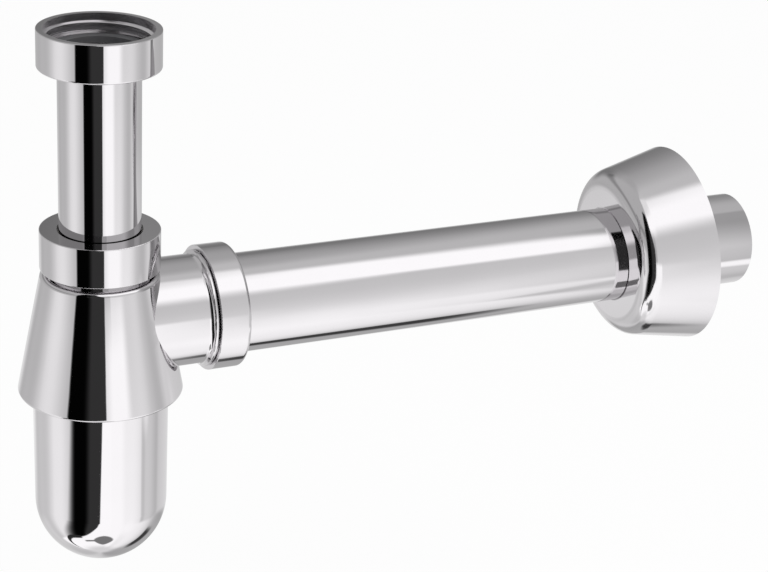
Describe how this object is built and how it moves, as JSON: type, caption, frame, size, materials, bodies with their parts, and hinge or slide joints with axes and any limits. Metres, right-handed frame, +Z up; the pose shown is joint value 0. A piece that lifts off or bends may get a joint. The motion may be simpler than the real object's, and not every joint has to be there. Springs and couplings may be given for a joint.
{
  "type": "basin trap",
  "caption": "Chromed bottle trap for a basin: union nut and inlet tube at the top, round-bottomed cup below, side outlet tube with a conical wall rosette.",
  "frame": {"origin": "centre of the union nut's mouth, where the basin waste screws in", "axes": "+Z up along the inlet tube, +X along the outlet tube towards the wall"},
  "size_m": [0.3219, 0.084, 0.2201],
  "materials": {
    "polished_chrome": "polished chrome plate on brass",
    "black_rubber": "smooth moulded rubber",
    "slip_plastic": "natural moulded plastic"
  },
  "bodies": {
    "basin_side": {"inlet_union_nut": "polished_chrome", "inlet_flat_gasket": "black_rubber"},
    "inlet_tube": {"inlet_tube": "polished_chrome"},
    "trap_body": {"trap_body": "polished_chrome", "inlet_cone_seal": "black_rubber", "outlet_cone_seal": "black_rubber"},
    "inlet_washer": {"inlet_slip_washer": "slip_plastic"},
    "inlet_nut": {"inlet_slip_nut": "polished_chrome"},
    "cup_seal": {"cup_seal": "black_rubber"},
    "trap_cup": {"trap_cup": "polished_chrome"},
    "outlet_washer": {"outlet_slip_washer": "slip_plastic"},
    "outlet_nut": {"outlet_slip_nut": "polished_chrome"},
    "outlet_tube": {"outlet_tube": "polished_chrome"},
    "rosette": {"wall_rosette": "polished_chrome"}
  },
  "joints": [
    {"name": "inlet_swivel", "type": "hinge", "parent": "basin_side", "child": "inlet_tube", "pos_m": [0, 0, -0.012], "axis": [0, 0, 1], "continuous": true},
    {"name": "height_adjust", "type": "slide", "parent": "inlet_tube", "child": "trap_body", "axis": [0, 0, 1], "range_m": [-0.02, 0.02]},
    {"name": "inlet_nut_travel", "type": "slide", "parent": "trap_body", "child": "inlet_washer", "axis": [0, 0, 1], "range_m": [0, 0.00925]},
    {"name": "inlet_nut_turn", "type": "hinge", "parent": "inlet_washer", "child": "inlet_nut", "pos_m": [0, 0, -0.0872], "axis": [0, 0, 1], "range_deg": [0, 1440]},
    {"name": "cup_lift", "type": "slide", "parent": "trap_body", "child": "cup_seal", "axis": [0, 0, 1], "range_m": [-0.1, 0]},
    {"name": "cup_turn", "type": "hinge", "parent": "cup_seal", "child": "trap_cup", "pos_m": [0, 0, -0.18], "axis": [0, 0, 1], "continuous": true},
    {"name": "outlet_slide", "type": "slide", "parent": "trap_body", "child": "outlet_tube", "axis": [1, 0, 0], "range_m": [-0.006, 0.015]},
    {"name": "outlet_nut_travel", "type": "slide", "parent": "trap_body", "child": "outlet_washer", "axis": [1, 0, 0], "range_m": [0, 0.00701]},
    {"name": "outlet_nut_turn", "type": "hinge", "parent": "outlet_washer", "child": "outlet_nut", "pos_m": [0.0476, 0, -0.11795], "axis": [1, 0, 0], "range_deg": [0, 1260]},
    {"name": "rosette_slide", "type": "slide", "parent": "outlet_tube", "child": "rosette", "axis": [1, 0, 0], "range_m": [-0.155, 0.026]}
  ],
  "couplings": [
    {"joint": "inlet_nut_travel", "follows": "inlet_nut_turn", "m_per_rad": 0.00036751},
    {"joint": "outlet_nut_travel", "follows": "outlet_nut_turn", "m_per_rad": 0.00031831}
  ]
}
